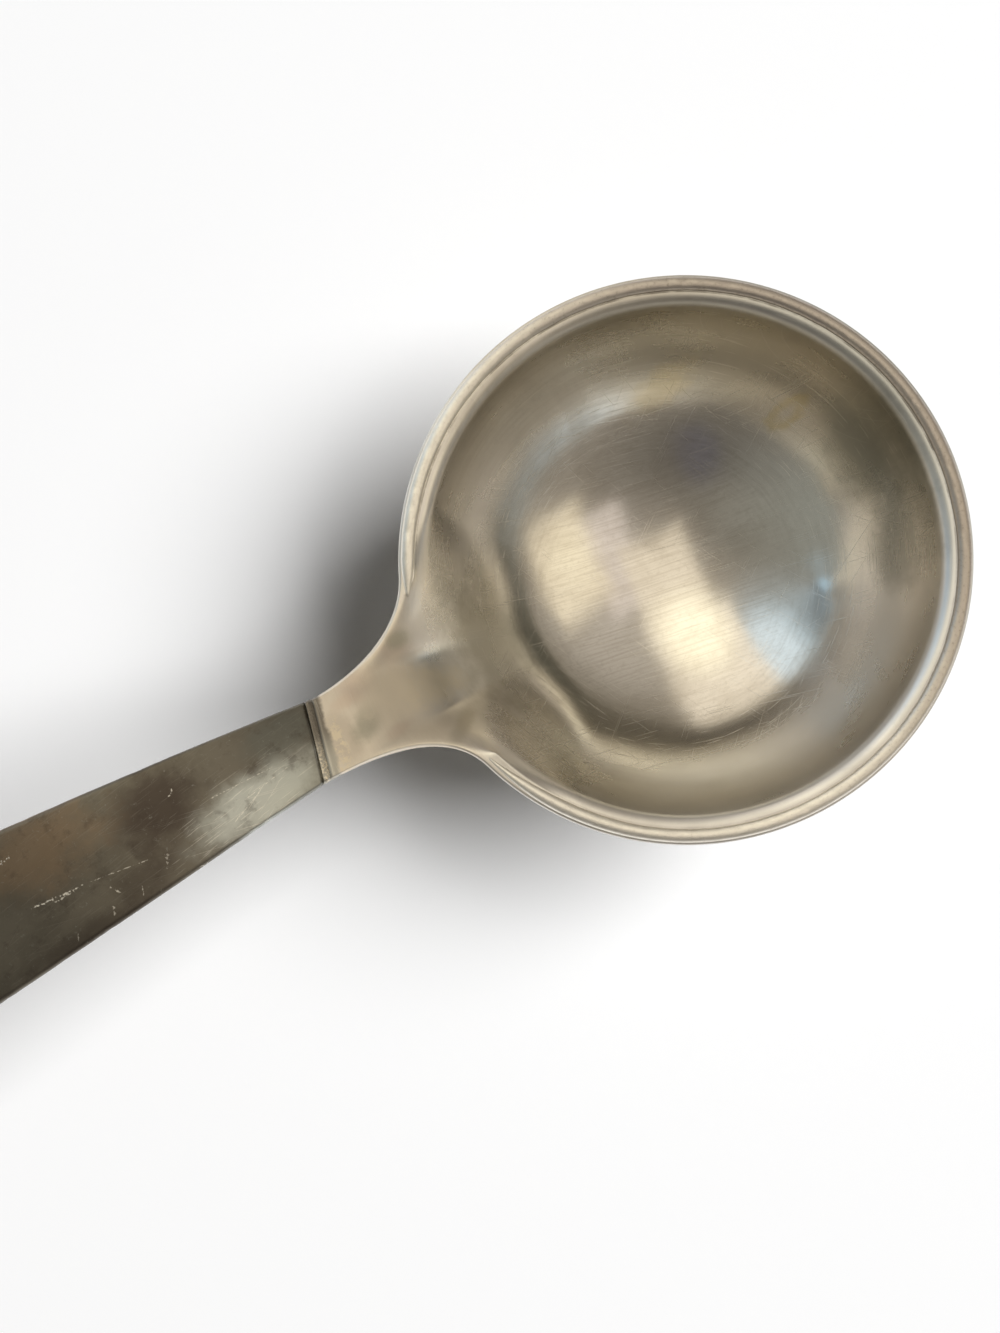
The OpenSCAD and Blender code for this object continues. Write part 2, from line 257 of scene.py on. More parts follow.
class Lines:
    """Lengths and lines that several pieces share."""

    def __init__(self, s):
        self.s = s
        self.edge = s.rim_d / 2 - s.lip_round
        self.flange_in = self.edge - s.wire_w - 2 * s.ledge_w
        self.wall_r = self.flange_in - s.bend_r
        self.inner_floor = s.sheet_t - s.base_wear
        self.wall_rise = s.bowl_h - s.bend_r - self.inner_floor
        self.rise_x = self.edge * math.cos(s.wire_gap)
        self.slope_x = self.rise_x + s.rise_l
        self.seam_x = s.rim_d / 2 + s.neck_l
        cos, sin = math.cos(s.neck_slope), math.sin(s.neck_slope)
        self.along = np.array([cos, 0, sin])
        self.down = np.array([sin, 0, -cos])
        self.seam_line = np.array([0, 1, 0]) + math.tan(s.seam_skew) * self.along
        top = np.array([self.seam_x, 0, float(self.plate_height(self.seam_x))])
        self.seam_mid = top + s.neck_t / 2 * self.down
        self.handle_start = self.seam_mid + s.seam_w * self.along
        self.tip_x = self.seam_x + s.handle_l
        self.foot_x = self.tip_x - s.foot_back

    def plate_slope(self, x):
        return math.tan(self.s.neck_slope) * np.clip((x - self.rise_x) / self.s.rise_l, 0, 1)

    def plate_height(self, x):
        """Height of the flange and neck: level, then a parabola, then straight up the slope."""
        u = np.clip((x - self.rise_x) / self.s.rise_l, 0, 1)
        rise = self.s.rise_l * u * u / 2 + np.maximum(0, x - self.slope_x)
        return self.s.bowl_h + math.tan(self.s.neck_slope) * rise

    def root(self, side):
        return self.s.root_left if side > 0 else self.s.root_right

    def corner(self, side):
        half = self.s.neck_w / 2 - self.s.lip_round
        ahead = half * math.tan(self.s.seam_skew) * math.cos(self.s.neck_slope)
        return np.array([self.seam_x + side * ahead, side * half])

    def outline(self):
        """Outline of the sheet from above, anticlockwise: the seam, a cubic curve down one side
        of the neck, the rim's circle and a cubic curve back up the other side."""
        s = self.s
        seam = mix(self.corner(-1), self.corner(1), np.linspace(0, 1, SEAM_COLUMNS + 1)[:, None])
        sides, rims = [], []
        for side in (1, -1):
            a = self.corner(side)
            b = a - s.side_reach * heading(s.handle_turn)
            d = self.edge * heading(side * self.root(side))
            c = d - s.root_reach * side * heading(side * self.root(side) + math.pi / 2)
            sides.append(bezier(a, b, c, d, np.linspace(0, 1, SIDE_COLUMNS + 1)[1:]))
            steps = (np.arange(1, RIM_COLUMNS) / RIM_COLUMNS) ** 1.25
            rims.append(self.edge * heading(side * mix(self.root(side), math.pi, steps)))
        back = np.array([[-self.edge, 0]])
        return np.concatenate([seam, sides[0], rims[0], back, rims[1][::-1], sides[1][::-1]])

    def wall(self, a):
        """Inside of the wall as a quarter ellipse at the angle a up it, and its direction."""
        point = np.stack([self.wall_r * np.sin(a), self.inner_floor + self.wall_rise * (1 - np.cos(a))], -1)
        return point, unit(np.stack([self.wall_r * np.cos(a), self.wall_rise * np.sin(a)], -1))


def curve_to(start, knee, way, pull, end_pull, t):
    """Cubic curve from a point with a direction to the knee, which it meets along way; each
    handle is a share of the distance between the two."""
    point, heads = start
    gap = np.linalg.norm(knee - point, axis=-1, keepdims=True)
    args = (point, point + pull * gap * heads, knee - end_pull * gap * way, knee, t)
    return bezier(*args), bezier_way(*args)


def evened(grid, shares, times):
    """The grid with each point moved by its share towards the mean of its four neighbours, time
    after time. The last column borders on the first, and the first and last row stay."""
    for _ in range(times):
        mean = np.roll(grid, 1, 1) + np.roll(grid, -1, 1)
        mean[1:-1] += grid[:-2] + grid[2:]
        grid = grid + shares * (mean / 4 - grid)
    return grid


def sheet_grid(lines):
    """Grid over the whole sheet. One parameter runs round the outline, the other up the inside
    from the base, over the rounded edge and down the outside. The inside is an ellipse up to the
    throat; above it, the round bend into the flange and the throat's long curve into the neck
    are mixed by the angle from the neck. The outside is the inside moved out along its normal
    by the thickness, and cut level at the worn base. Both are moved in and out by the dents, and
    evened out round the throat."""
    s = lines.s
    outline = lines.outline()
    count = len(outline)
    angle = np.arctan2(outline[:, 1], outline[:, 0])
    reach = np.linalg.norm(outline, axis=1)
    root = np.where(outline[:, 1] > 0, s.root_left, s.root_right)
    neck = smooth((root - np.abs(angle)) / s.soften)
    in_neck = neck > 0
    cos = np.cos(angle)
    throat = lines.slope_x / np.where(in_neck, cos, 1)
    knee_r = np.where(in_neck, mix(lines.flange_in, throat, neck), lines.flange_in)

    def plate(r):
        heads = np.stack([np.ones_like(r), lines.plate_slope(r * cos) * cos], -1)
        return np.stack([r, lines.plate_height(r * cos)], -1), unit(heads)

    knee, way = plate(knee_r)
    side = math.pi / 2
    low = s.throat_start
    shape = (count, 2)
    line, heads = [], []

    def add(point, head):
        line.append(np.broadcast_to(point, shape))
        heads.append(np.broadcast_to(head, shape))

    for i in range(1, WALL_STEPS + 1):
        add(*lines.wall(np.float64(low * i / WALL_STEPS)))
    start = lines.wall(np.float64(low))
    top = lines.wall(np.float64(side))
    share_up = neck[:, None]
    for i in range(1, UPPER_STEPS + 1):
        plain = lines.wall(np.float64(mix(low, side, i / UPPER_STEPS)))
        long = curve_to(start, knee, way, 0.36, 0.36, 0.6 * i / UPPER_STEPS)
        add(mix(plain[0], long[0], share_up), mix(plain[1], long[1], share_up))

    def bend(u):
        plain = curve_to(top, knee, way, 0.39, 0.39, u)
        long = curve_to(start, knee, way, 0.36, 0.36, mix(0.6, 1, u))
        return mix(plain[0], long[0], share_up), mix(plain[1], long[1], share_up)

    def bend_to(r):
        """Place on the bend that has the radius r, by halving."""
        low, high = np.zeros(count), np.ones(count)
        for _ in range(30):
            half = (low + high) / 2
            short = bend(half)[0][:, 0] < r
            low, high = np.where(short, half, low), np.where(short, high, half)
        return high

    last_r = np.minimum(knee_r, reach - 0.8 * MM)
    last = np.where(knee_r > last_r, bend_to(last_r), 1)
    for i in range(1, BEND_STEPS + 1):
        add(*bend(last * i / BEND_STEPS))
    for i in range(1, PLATE_STEPS + 1):
        r = mix(last_r, reach, i / PLATE_STEPS)
        curved = bend(bend_to(r))
        flat = plate(r)
        on_bend = (r < knee_r)[:, None]
        add(np.where(on_bend, curved[0], flat[0]), np.where(on_bend, curved[1], flat[1]))

    line, heads = np.array(line), unit(np.array(heads))
    r, z = line[..., 0], line[..., 1]
    thick = mix(
        s.sheet_t, s.neck_t,
        neck * np.clip((r * cos - lines.edge) / (s.neck_l - s.neck_w / 2), 0, 1),
    )
    dents = dent_height(lines, r * cos, r * np.sin(angle), z)
    r, z = r - dents * heads[..., 1], z + dents * heads[..., 0]
    outer_r = r + thick * heads[..., 1]
    outer_z = np.maximum(0, z - thick * heads[..., 0])

    def turned(r, z):
        return np.stack([r * cos, r * np.sin(angle), z], -1)

    inside, outside = turned(r, z), turned(outer_r, outer_z)
    row = np.arange(len(inside))[:, None]
    on_plate = row >= len(inside) - PLATE_STEPS
    soft = smooth((math.radians(40) - np.abs(angle)) / math.radians(20))
    soft = soft * np.where(on_plate, smooth((s.wire_gap - np.abs(angle)) / math.radians(1.5)), 1)
    soft = soft * smooth((r[: len(row)] - 24 * MM) / (18 * MM)) * smooth((58 * MM - r * cos) / (6 * MM))
    soft[0] = soft[-1] = 0
    inside, outside = (evened(grid, soft[..., None], 200) for grid in (inside, outside))
    at_seam = (np.arange(count) <= SEAM_COLUMNS)[:, None]
    foot = np.where(at_seam, inside[-1] + s.neck_t * lines.down, outside[-1])
    outside[-1] = foot
    round_ = unit(np.roll(outline, -1, 0) - np.roll(outline, 1, 0))
    out = np.stack(
        [round_[:, 1], -round_[:, 0], round_[:, 1] * lines.plate_slope(outline[:, 0])], -1
    )
    out[: SEAM_COLUMNS + 1] = 0
    out[0], out[SEAM_COLUMNS] = -lines.seam_line, lines.seam_line
    lips = [
        mix(inside[-1], foot, (1 - math.cos(a)) / 2) + s.lip_round * out * math.sin(a)
        for a in np.linspace(0, math.pi, LIP_STEPS + 1)[1:-1]
    ]
    return np.concatenate([inside, np.array(lips), outside[::-1]])


# Single dents of the bowl: place from above, half length and half width, turn, and depth as a
# multiple of the general unevenness
DENTS = (
    (26.5, 13.0, 8.0, 2.8, 92, 2.6),
    (-25.4, 14.8, 2.9, 2.6, 0, 3.2),
    (-30.0, -9.0, 9.0, 5.0, 70, -1.6),
    (4.0, 30.0, 9.0, 4.0, 10, 1.4),
)


def dent_height(lines, x, y, z):
    """Unevenness of the hammered wall: long and short ripples and a few single dents, each an
    oval bell, that die out at the bend and on the flange and neck."""
    s = lines.s
    points = np.stack([x, y, z], -1)
    height = ripple(points, 7, 26, 34 * MM, 15 * MM) + 0.16 * ripple(points, 8, 30, 12 * MM, 6 * MM)
    for at_x, at_y, half, wide, turned, depth in DENTS:
        cos, sin = math.cos(math.radians(turned)), math.sin(math.radians(turned))
        dx, dy = x - at_x * MM, y - at_y * MM
        u, v = (dx * cos + dy * sin) / (half * MM), (dy * cos - dx * sin) / (wide * MM)
        height = height - depth * np.exp(-(u * u + v * v))
    rim = smooth((lines.edge - np.hypot(x, y)) / (4 * MM))
    return s.dent_h * height * rim * smooth((s.bowl_h - 1.5 * MM - z) / (8 * MM))


def make_sheet(lines, finish):
    """The bowl: the sheet's grid, with a pole inside and one under the base."""
    grid = sheet_grid(lines)
    rows, columns = grid.shape[:2]
    points = grid.reshape(-1, 3)
    inner = grid[0, :, 2].mean()
    points = np.concatenate([points, [[0, 0, inner - 0.00001], [0, 0, 0]]])
    ring = np.arange(columns)
    faces = [
        grid_faces(rows, columns, True)[:, ::-1],
        fan(ring, rows * columns)[:, ::1],
        fan((rows - 1) * columns + ring, rows * columns + 1)[:, ::-1],
    ]
    return put_mesh("bowl_sheet", points, faces, finish)


def make_wire(lines, finish):
    """The rim's wire: a half ellipse carried round the flange. Its size falls as a sine to a
    point at each end, where it moves outwards, and its height and inner side are worn uneven."""
    s = lines.s
    steps = np.linspace(0, 1, WIRE_STATIONS)
    angle = mix(s.wire_gap, 2 * math.pi - s.wire_gap, steps)
    left = (angle - s.wire_gap) / s.taper_left
    right = (2 * math.pi - s.wire_gap - angle) / s.taper_right
    size = mix(0.12, 1, np.sin(np.clip(np.minimum(left, right), 0, 1) * math.pi / 2))
    middle = lines.edge - s.ledge_w - s.wire_w * mix(0.3, 0.5, size)
    a = np.linspace(0, math.pi, WIRE_SIDES + 1)
    ring = np.stack([lines.edge * np.cos(angle), lines.edge * np.sin(angle), 0 * angle], -1)
    wave = ripple(ring, 3, 18, 20 * MM, 2.5 * MM)
    cut = nicks(angle * lines.edge, 4, 46, 0.25 * MM, 0.9 * MM)
    half = (size * s.wire_w / 2)[:, None] * (1 + 0.03 * wave[:, None] * (np.cos(a) < 0))
    height = (size * s.wire_h * (1 + 0.03 * wave))[:, None]
    height = height - s.nick_h * 0.55 * cut[:, None] * np.sin(a) * size[:, None]
    r = middle[:, None] + half * np.cos(a)
    z = s.bowl_h + height * np.sin(a)
    grid = np.stack([r * np.cos(angle)[:, None], r * np.sin(angle)[:, None], z], -1)
    rows, columns = grid.shape[:2]
    faces = [
        grid_faces(rows, columns, True)[:, ::-1],
        np.arange(columns)[None],
        (rows - 1) * columns + np.arange(columns)[None, ::-1],
    ]
    return put_mesh("rim_bead", grid.reshape(-1, 3), faces, finish)


# ---------------------------------------------------------------- the handle and the seam


def bar_section(w, t, top, r):
    """Section of the flat bar as sideways and upward distances from its middle, for each
    station: a level underside, quarter-round long edges and a parabola over the top."""
    round_ = np.minimum(r, np.minimum(t * 0.42, w * 0.4))
    side, low = w / 2 - round_, -t / 2 + round_
    high = np.maximum(low, t / 2 - top - round_)
    a = np.linspace(-math.pi / 2, math.pi / 2, 2 * BAR_CORNER + 1)
    edge_y = side[:, None] + round_[:, None] * np.cos(a)
    level = np.where(a > 0, high[:, None], low[:, None])
    edge_z = level + round_[:, None] * np.sin(a)
    across = 1 - 2 * np.arange(1, BAR_CROWN) / BAR_CROWN
    crown_y = side[:, None] * across
    crown_z = (t / 2)[:, None] - top[:, None] * across**2
    y = np.concatenate([edge_y, crown_y, -edge_y[:, ::-1]], 1)
    return y, np.concatenate([edge_z, crown_z, edge_z[:, ::-1]], 1)


def bar_grid(at, slope, section, skew):
    """The section stood across a path at each of its points: turned up by the path's slope,
    and swung forward on one side by the skew."""
    y, up = section
    ahead = y * np.tan(skew)[:, None]
    cos, sin = np.cos(slope)[:, None], np.sin(slope)[:, None]
    x = at[:, :1] + ahead * cos - up * sin
    return np.stack([x, at[:, 1:2] + y, at[:, 2:] + ahead * sin + up * cos], -1)


def close_bar(name, grid, finish):
    rows, columns = grid.shape[:2]
    faces = [
        grid_faces(rows, columns, True),
        np.arange(columns)[None, ::-1],
        (rows - 1) * columns + np.arange(columns)[None],
    ]
    return put_mesh(name, grid.reshape(-1, 3), faces, finish)


def make_bar(lines, finish):
    """The handle: the bar's section carried up one cubic curve to the top of the arch, down
    another to the foot, and along a parabola to the tip, where its outline is half an ellipse.
    It widens as a quarter sine, and nicks are cut into its long edges."""
    s = lines.s

    def width(x):
        u = np.clip((x - lines.seam_x) / s.flare_l, 0, 1)
        return mix(s.neck_w, s.handle_w, np.sin(u * math.pi / 2))

    def thickness(x):
        return mix(s.neck_t, s.handle_t, np.clip((x - lines.seam_x) / s.handle_l, 0, 1))

    start = lines.handle_start[[0, 2]]
    arch_x = lines.seam_x + s.arch_at
    peak = np.array([arch_x, s.arch_h - thickness(arch_x) / 2])
    foot = np.array([lines.foot_x, thickness(lines.foot_x) / 2])
    rise_l, fall_l = arch_x - start[0], lines.foot_x - arch_x
    level = np.array([1.0, 0.0])
    rise = (start, start + 0.4 * rise_l * heading(s.neck_slope), peak - 0.4 * rise_l * level, peak)
    fall = (peak, peak + 0.46 * fall_l * level, foot - 0.36 * fall_l * level, foot)
    t_rise = np.linspace(0, 1, RISE_STEPS + 1)
    t_fall = np.linspace(0, 1, FALL_STEPS + 1)[1:]
    tip_turn = np.radians(85) * np.arange(1, TIP_STEPS + 1) / TIP_STEPS
    tip = mix(lines.foot_x, lines.tip_x, np.sin(tip_turn))
    t_tip = (tip - lines.foot_x) / s.foot_back
    path = np.concatenate([
        bezier(*rise, t_rise),
        bezier(*fall, t_fall),
        np.stack([tip, foot[1] + s.tip_lift * t_tip**2], -1),
    ])
    way = np.concatenate([
        bezier_way(*rise, t_rise),
        bezier_way(*fall, t_fall),
        unit(np.stack([np.full_like(tip, s.foot_back), 2 * s.tip_lift * t_tip], -1)),
    ])
    x = path[:, 0]
    skew = np.full_like(x, -s.handle_turn)
    skew[: RISE_STEPS + 1] = mix(s.seam_skew, -s.handle_turn, smooth(t_rise * 2))
    u = np.clip((x - (lines.tip_x - s.tip_l)) / s.tip_l, 0, 1)
    e = np.clip((lines.tip_x - x) / s.edge_r, 0, 1)
    w = width(x) * np.sqrt(1 - u * u)
    t = thickness(x) * np.maximum(0.3, np.sqrt(1 - (1 - e) ** 2))
    aside = (x - lines.handle_start[0]) * math.tan(s.handle_turn)
    y, up = bar_section(w, t, s.crown * np.minimum(1, w / s.neck_w), s.edge_r)
    worn = np.where(y > 0, nicks(x, 5, 70, 0.2 * MM, 1.1 * MM)[:, None], nicks(x, 6, 70, 0.2 * MM, 1.1 * MM)[:, None])
    at_edge = smooth((np.abs(y) / (w / 2)[:, None] - 0.9) / 0.1)
    y = y - np.sign(y) * s.nick_h * 0.3 * worn * at_edge * np.minimum(1, w / s.neck_w)[:, None]
    grid = bar_grid(np.stack([x, aside, path[:, 1]], -1), np.arctan2(way[:, 1], way[:, 0]), (y, up), skew)
    inner = np.minimum(1, w / s.neck_w)[:, None]
    grid[..., 2] += 0.03 * MM * ripple(grid, 12, 20, 30 * MM, 9 * MM) * inner * (up > 0)
    grid[..., 2] = np.maximum(0, grid[..., 2])
    return close_bar("handle_bar", grid, finish)


def make_bead(lines, finish):
    """The seam: the bar's section across the joint, proudest half way over it as half a sine,
    its upper side broken into fine grains."""
    s = lines.s
    u = np.linspace(0, 1, BEAD_STEPS + 1)
    proud = s.seam_proud * (0.1 + 0.3 * np.sin(math.pi * u))
    section = bar_section(s.neck_w + 2 * proud, s.neck_t + 2 * proud, 0 * u, s.edge_r)
    at = lines.seam_mid + (u * s.seam_w)[:, None] * lines.along
    grid = bar_grid(at, np.full_like(u, s.neck_slope), section, np.full_like(u, s.seam_skew))
    grain = ripple(grid, 21, 60, 1.6 * MM, 0.35 * MM)
    bulge = 0.04 * MM * grain * np.sin(math.pi * u)[:, None]
    return close_bar("seam_solder", grid + unit(grid - at[:, None]) * bulge[..., None], finish)


# ---------------------------------------------------------------- finishes


class Finish:
    """A node material as it is written: each method adds a node and returns its output."""

    def __init__(self, name, **constants):
        self.material = bpy.data.materials.new(name)
        self.material.use_nodes = True
        self.tree = self.material.node_tree
        self.shader = self.tree.nodes["Principled BSDF"]
        for socket, value in constants.items():
            self.shader.inputs[socket.replace("_", " ")].default_value = value
        self.place = self.add("ShaderNodeTexCoord").outputs["Object"]

    def add(self, kind, inputs=(), **settings):
        node = self.tree.nodes.new(kind)
        for key, value in settings.items():
            setattr(node, key, value)
        for key, value in dict(inputs).items():
            self.set(node.inputs[key], value)
        return node

    def set(self, socket, value):
        if isinstance(value, bpy.types.NodeSocket):
            self.tree.links.new(value, socket)
        else:
            socket.default_value = (*value, 1) if socket.type == "RGBA" and len(value) == 3 else value

    def math(self, operation, *values):
        node = self.add("ShaderNodeMath", operation=operation)
        for i, value in enumerate(values):
            self.set(node.inputs[i], value)
        return node.outputs[0]

    def total(self, *values):
        out = values[0]
        for value in values[1:]:
            out = self.math("ADD", out, value)
        return out

    def mapped(self, turned=0.0, scale=(1, 1, 1), at=None):
        """The place turned about Z and then stretched."""
        turned_place = self.add(
            "ShaderNodeMapping", {"Vector": at or self.place, "Rotation": (0, 0, turned)}
        ).outputs[0]
        return self.add("ShaderNodeMapping", {"Vector": turned_place, "Scale": scale}).outputs[0]

    def noise(self, scale, detail=4.0, rough=0.55, at=None, twist=0.0):
        return self.add("ShaderNodeTexNoise", {
            "Vector": at or self.place, "Scale": scale, "Detail": detail,
            "Roughness": rough, "Distortion": twist,
        }).outputs[0]

    def step(self, value, low, high, start=0.0, end=1.0):
        """Rises smoothly from start to end as value goes from low to high."""
        node = self.add("ShaderNodeMapRange", {0: value, 1: low, 2: high, 3: start, 4: end})
        node.interpolation_type = "SMOOTHSTEP"
        return node.outputs[0]

    def blend(self, amount, a, b):
        node = self.add("ShaderNodeMix", data_type="RGBA")
        for i, value in ((0, amount), (6, a), (7, b)):
            self.set(node.inputs[i], value)
        return node.outputs[2]

    def lerp(self, amount, a, b):
        node = self.add("ShaderNodeMix", {0: amount, 2: a, 3: b})
        return node.outputs[0]

    def vector(self, operation, a, b=None):
        node = self.add("ShaderNodeVectorMath", operation=operation)
        self.set(node.inputs[0], a)
        if b is not None:
            self.set(node.inputs["Scale" if operation == "SCALE" else 1], b)
        return node.outputs["Value" if operation in ("LENGTH", "DOT_PRODUCT") else 0]

    def hairs(self, turned, seed, long=75.0, thin=5200.0, level=0.66):
        """Fine straight scratches in one direction: noise drawn out along it and cut off."""
        moved = self.vector("ADD", self.place, (seed, seed * 1.7, seed * 0.3))
        at = self.mapped(turned, (long, thin, long), moved)
        return self.step(self.noise(1.0, 2.0, 0.4, at), level, level + 0.06)

    def oval(self, x, y, long, wide, turned=0.0, warp=0.0):
        """A soft patch seen from above, in millimetres and degrees: 1 in its middle and 0 on
        the oval, whose edge the warp breaks up."""
        at = self.vector("MULTIPLY", self.vector("SUBTRACT", self.place, (x * MM, y * MM, 0)), (1, 1, 0))
        at = self.mapped(math.radians(-turned), (1000 / long, 1000 / wide, 1), at)
        far = self.vector("LENGTH", at)
        if warp:
            ragged = self.math("SUBTRACT", self.noise(260.0, 5.0, 0.6), 0.5)
            far = self.math("MULTIPLY_ADD", ragged, warp, far)
        return self.step(far, 0.25, 1.0, 1.0, 0.0)

    def stroke(self, x0, y0, x1, y1, wide, strength):
        """One scratch seen from above, in millimetres: near to the line from one end to the
        other, with a ragged edge."""
        start, run = Vector((x0, y0, 0)) * MM, Vector((x1 - x0, y1 - y0, 0)) * MM
        from_start = self.vector("MULTIPLY", self.vector("SUBTRACT", self.place, start), (1, 1, 0))
        t = self.vector("DOT_PRODUCT", from_start, run / run.length_squared)
        t = self.math("MINIMUM", self.math("MAXIMUM", t, 0.0), 1.0)
        line = self.add("ShaderNodeVectorMath", {0: run, "Scale": t}, operation="SCALE").outputs[0]
        far = self.vector("LENGTH", self.vector("SUBTRACT", from_start, line))
        far = self.math("MULTIPLY_ADD", self.ragged(), 4.5 * wide * MM, far)
        return self.step(far, 0.1 * wide * MM, 0.9 * wide * MM, strength, 0.0)

    def ragged(self):
        """Uneven values round 0 that strokes share."""
        if not hasattr(self, "_ragged"):
            self._ragged = self.math("SUBTRACT", self.noise(2600.0, 2.0, 0.5), 0.42)
        return self._ragged

    def most(self, values):
        out = values[0]
        for value in values[1:]:
            out = self.math("MAXIMUM", out, value)
        return out

    def done(self, tint, rough, bumps):
        """Joins colour, roughness and bumps to the shader; each bump is a height and its depth
        in metres."""
        self.set(self.shader.inputs["Base Color"], tint)
        self.set(self.shader.inputs["Roughness"], rough)
        normal = None
        for height, depth in bumps:
            node = self.add("ShaderNodeBump", {"Height": height, "Distance": depth, "Strength": 1.0})
            if normal:
                self.set(node.inputs["Normal"], normal)
            normal = node.outputs[0]
        self.set(self.shader.inputs["Normal"], normal)
        return self.material


# Scratches seen in the bowl and on the handle: both ends in millimetres, width and strength
BOWL_STROKES = (
    (24.0, -29.0, 18.8, -27.1, 0.16, 0.9),
    (27.0, -24.3, 29.3, -16.8, 0.11, 0.7),
    (-0.7, -31.1, -9.9, -28.6, 0.13, 0.6),
    (1.5, -27.5, -7.0, -26.8, 0.09, 0.5),
    (-18.3, 13.8, -21.5, 11.3, 0.13, 0.8),
    (-3.1, -1.1, -19.8, -2.8, 0.07, 0.35),
    (-14.0, 21.0, -22.0, 20.0, 0.08, 0.4),
)
HANDLE_STROKES = (
    (108.6, 3.5, 101.8, 3.8, 0.3, 0.85),
    (105.5, 4.2, 102.5, 4.0, 0.22, 0.7),
    (101.2, 3.7, 91.8, 4.7, 0.12, 0.5),
    (97.9, 5.7, 97.1, 7.0, 0.2, 0.6),
    (99.1, 9.8, 98.6, 8.4, 0.2, 0.5),
    (94.4, 9.0, 94.0, 7.7, 0.15, 0.45),
    (105.0, 10.6, 104.5, 9.4, 0.14, 0.4),
    (89.9, 6.9, 89.2, 5.4, 0.35, 0.3),
    (86.4, 9.0, 83.4, 9.2, 0.16, 0.7),
    (110.0, -4.2, 108.3, -4.6, 0.25, 0.8),
    (85.5, -2.2, 84.8, -2.8, 0.2, 0.6),
    (80.6, 0.8, 71.5, 0.6, 0.1, 0.5),
    (76.8, 3.2, 69.6, 1.6, 0.09, 0.55),
    (79.5, 5.6, 73.4, 2.6, 0.1, 0.5),
)


# Metal next to the seam, dark on its right half and rubbed on its left half
SMOKED, RUBBED = (0.20, 0.18, 0.15), (0.52, 0.50, 0.43)


